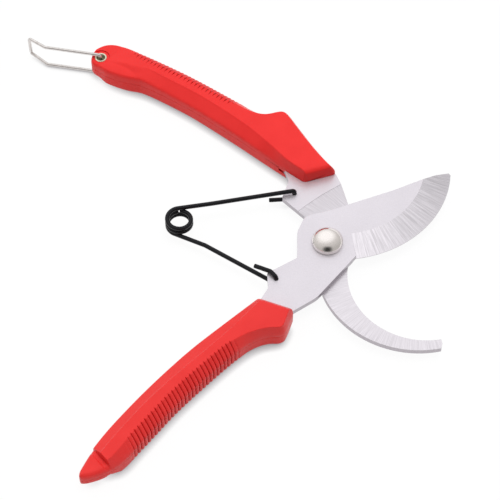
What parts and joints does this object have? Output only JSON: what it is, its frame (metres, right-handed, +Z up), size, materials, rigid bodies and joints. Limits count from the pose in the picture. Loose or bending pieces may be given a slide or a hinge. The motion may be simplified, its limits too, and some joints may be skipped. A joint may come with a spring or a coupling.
{
  "type": "pruning shears",
  "caption": "Bypass pruning shears lying open: curved cutting blade over a hooked counter blade, ribbed red grips, a torsion spring between them and a swinging wire bail that locks them shut.",
  "frame": {"origin": "on the table, on the pivot axis, at the lower end of the pivot bolt", "axes": "+Z up along the pivot axis; the jaws open towards +X; the hook-side grip runs towards -X and +Y, the blade-side grip towards -X and -Y"},
  "size_m": [0.189, 0.2238, 0.0147],
  "materials": {
    "steel": "satin, ground across the bevel",
    "polished": "polished nickel",
    "hook_red": "satin gloss",
    "blade_red": "satin gloss",
    "wire_black": "satin black",
    "wire_silver": "bright drawn wire",
    "eyelet": "satin"
  },
  "bodies": {
    "hook_half": {"counter_blade": "steel", "hook_grip_upper": "hook_red", "hook_grip_lower": "hook_red", "hook_screw_front": "polished", "hook_screw_rear": "polished", "pivot_bolt": "polished", "pivot_washer": "polished", "pivot_nut": "polished", "bail_eyelet": "eyelet", "eyelet_back_ring": "eyelet"},
    "blade_half": {"cutting_blade": "steel", "blade_grip_upper": "blade_red", "blade_grip_lower": "blade_red", "blade_screw_front": "polished", "blade_screw_rear": "polished"},
    "spring_hook_side": {"spring_hook_leg": "wire_black"},
    "spring_blade_side": {"spring_blade_leg": "wire_black"},
    "bail": {"lock_bail": "wire_silver"}
  },
  "joints": [
    {"name": "pivot", "type": "hinge", "parent": "hook_half", "child": "blade_half", "pos_m": [0, 0, 0], "axis": [0, 0, 1], "range_deg": [-83, 0], "stiffness_Nm_per_rad": 0.5, "springref_deg": 17.19},
    {"name": "spring_hook_turn", "type": "hinge", "parent": "hook_half", "child": "spring_hook_side", "pos_m": [-0.01332, 0.02759, 0], "axis": [0, 0, 1], "range_deg": [-53, 0]},
    {"name": "spring_blade_turn", "type": "hinge", "parent": "blade_half", "child": "spring_blade_side", "pos_m": [-0.02167, -0.01837, 0], "axis": [0, 0, 1], "range_deg": [0, 72]},
    {"name": "bail_swing", "type": "hinge", "parent": "hook_half", "child": "bail", "pos_m": [-0.10027, 0.10173, 0], "axis": [0, 0, 1], "range_deg": [-110, 74]}
  ],
  "couplings": [
    {"joint": "spring_hook_turn", "follows": "pivot", "ratio": 0.6341},
    {"joint": "spring_blade_turn", "follows": "pivot", "ratio": -0.8648}
  ]
}
